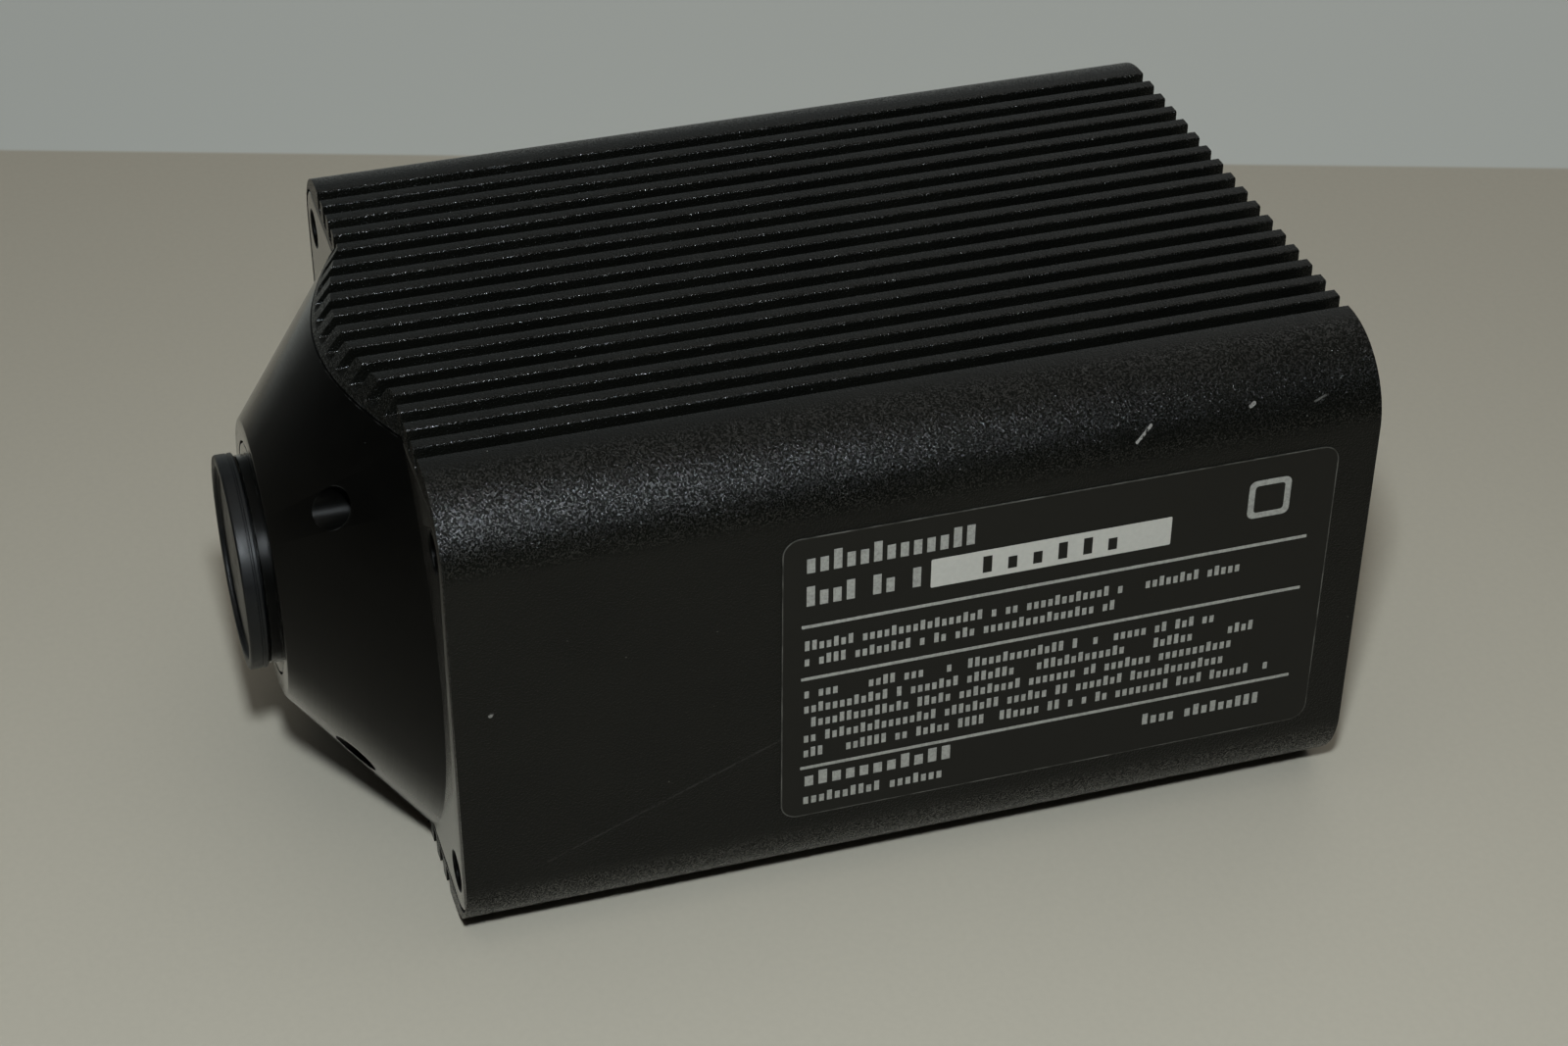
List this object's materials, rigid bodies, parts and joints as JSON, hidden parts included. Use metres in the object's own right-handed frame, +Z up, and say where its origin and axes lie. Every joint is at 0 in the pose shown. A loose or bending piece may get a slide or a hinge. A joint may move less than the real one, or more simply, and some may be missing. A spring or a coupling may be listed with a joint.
{
  "type": "microscope camera head",
  "caption": "Finned black aluminium camera head with a conical nose, a one-inch threaded lens mount, a screw-in dust cap and rear sockets.",
  "frame": {"origin": "on the surface that the camera lies on, under the middle of its bounding box", "axes": "+Z up across the two finned faces, -Y the way the lens mount points, +X the labelled side"},
  "size_m": [0.0987, 0.1576, 0.074],
  "materials": {
    "textured_black": "black anodised, bead blasted to a fine pebbled texture",
    "satin_black": "black anodised, smooth turned satin",
    "black_plastic": "moulded black plastic, slightly glossy",
    "black_steel": "black oxide",
    "nickel": "nickel plated",
    "label_film": "black printed polyester film",
    "lamp_lens": "clear green lens",
    "optical_glass": "polished, coated",
    "seal_rubber": "matt",
    "bare_aluminium": "machined",
    "package_ceramic": "fired ceramic",
    "white_ceramic": "fired ceramic",
    "circuit_board": "green solder mask",
    "brass": "machined"
  },
  "bodies": {
    "camera_body": {"housing": "textured_black", "nose_block": "satin_black", "ear_screw_1": "black_steel", "ear_screw_2": "black_steel", "ear_screw_3": "black_steel", "ear_screw_4": "black_steel", "nose_screw_1": "black_steel", "nose_screw_2": "black_steel", "nose_screw_3": "black_steel", "nose_screw_4": "black_steel", "rear_panel": "satin_black", "rear_screw_1": "black_steel", "rear_screw_2": "black_steel", "rear_screw_3": "black_steel", "rear_screw_4": "black_steel", "data_socket_shell": "nickel", "data_socket_insert": "black_plastic", "jack_screw_1": "nickel", "jack_screw_2": "nickel", "power_socket_shell": "nickel", "power_socket_insert": "black_plastic", "status_lamp": "lamp_lens", "label_plate": "label_film", "chamber_seal": "seal_rubber", "sensor_chamber": "bare_aluminium", "chamber_window": "optical_glass", "sensor_package": "package_ceramic", "sensor_cover_glass": "optical_glass", "cooler_module": "white_ceramic", "heat_spreader": "bare_aluminium", "sensor_board": "circuit_board", "main_board": "circuit_board", "power_board": "circuit_board", "board_spacer_1": "brass", "board_spacer_2": "brass", "board_spacer_3": "brass", "board_spacer_4": "brass"},
    "mount_ring": {"mount_ring": "satin_black", "blocking_filter": "optical_glass", "filter_ring": "satin_black"},
    "dust_cap": {"dust_cap": "black_plastic"}
  },
  "joints": [
    {"name": "ring_turn", "type": "hinge", "parent": "camera_body", "child": "mount_ring", "pos_m": [0, -0.0717, 0.037], "axis": [0, -1, 0], "range_deg": [-180, 180]},
    {"name": "cap_pull", "type": "slide", "parent": "mount_ring", "child": "dust_cap", "axis": [0, -1, 0], "range_m": [0, 0.03]}
  ]
}
